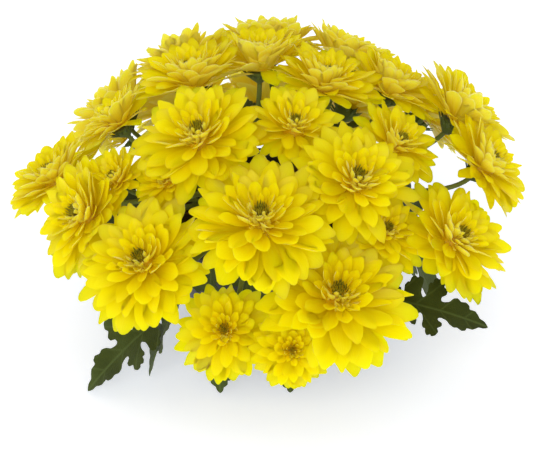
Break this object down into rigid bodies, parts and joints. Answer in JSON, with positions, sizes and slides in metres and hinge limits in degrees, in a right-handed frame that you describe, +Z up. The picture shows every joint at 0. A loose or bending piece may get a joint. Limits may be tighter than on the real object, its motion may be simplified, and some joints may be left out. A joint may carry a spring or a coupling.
{
  "type": "potted chrysanthemum",
  "caption": "Low dome of double yellow chrysanthemum blooms over lobed dark green leaves, growing in a plain round plastic pot.",
  "frame": {"origin": "centre of the pot's foot, on the surface it stands on", "axes": "+Z up, -Y towards the front of the plant, +X to its right as seen from the front"},
  "size_m": [0.3038, 0.2801, 0.1806],
  "materials": {
    "petal_yellow": "soft matte petal, slightly translucent",
    "leaf_green": "matte hairy leaf and stem",
    "peat_soil": "crumbly moist peat and bark",
    "pot_plastic": "moulded, satin"
  },
  "bodies": {
    "root": {"pot": "pot_plastic", "soil": "peat_soil", "cutting_front": "leaf_green", "cutting_right": "leaf_green", "cutting_back_right": "leaf_green", "cutting_back_left": "leaf_green", "cutting_left": "leaf_green", "bloom_front_right": "petal_yellow", "bloom_front_left": "petal_yellow", "bloom_front_centre": "petal_yellow", "bloom_low_right": "petal_yellow", "bloom_upper_right": "petal_yellow", "bloom_upper_left": "petal_yellow", "bloom_low_left": "petal_yellow", "bloom_low_middle": "petal_yellow", "bloom_middle_right": "petal_yellow", "bloom_far_left": "petal_yellow", "bloom_far_right": "petal_yellow", "bloom_shoulder_right": "petal_yellow", "bloom_top_middle": "petal_yellow", "bloom_top_left": "petal_yellow", "bloom_top_right": "petal_yellow", "bloom_crown": "petal_yellow", "bloom_inner_left": "petal_yellow", "bloom_middle_left": "petal_yellow", "bloom_edge_left": "petal_yellow", "bloom_back_edge_left": "petal_yellow", "bloom_inner_right": "petal_yellow", "bloom_top_far_right": "petal_yellow", "bloom_bud": "petal_yellow", "bloom_back_crown_left": "petal_yellow", "bloom_back_crown": "petal_yellow", "bloom_back_crown_right": "petal_yellow", "bloom_back_left": "petal_yellow", "bloom_back_right": "petal_yellow", "bloom_back_low_left": "petal_yellow", "bloom_back_low": "petal_yellow", "bloom_back_low_right": "petal_yellow"}
  },
  "joints": []
}
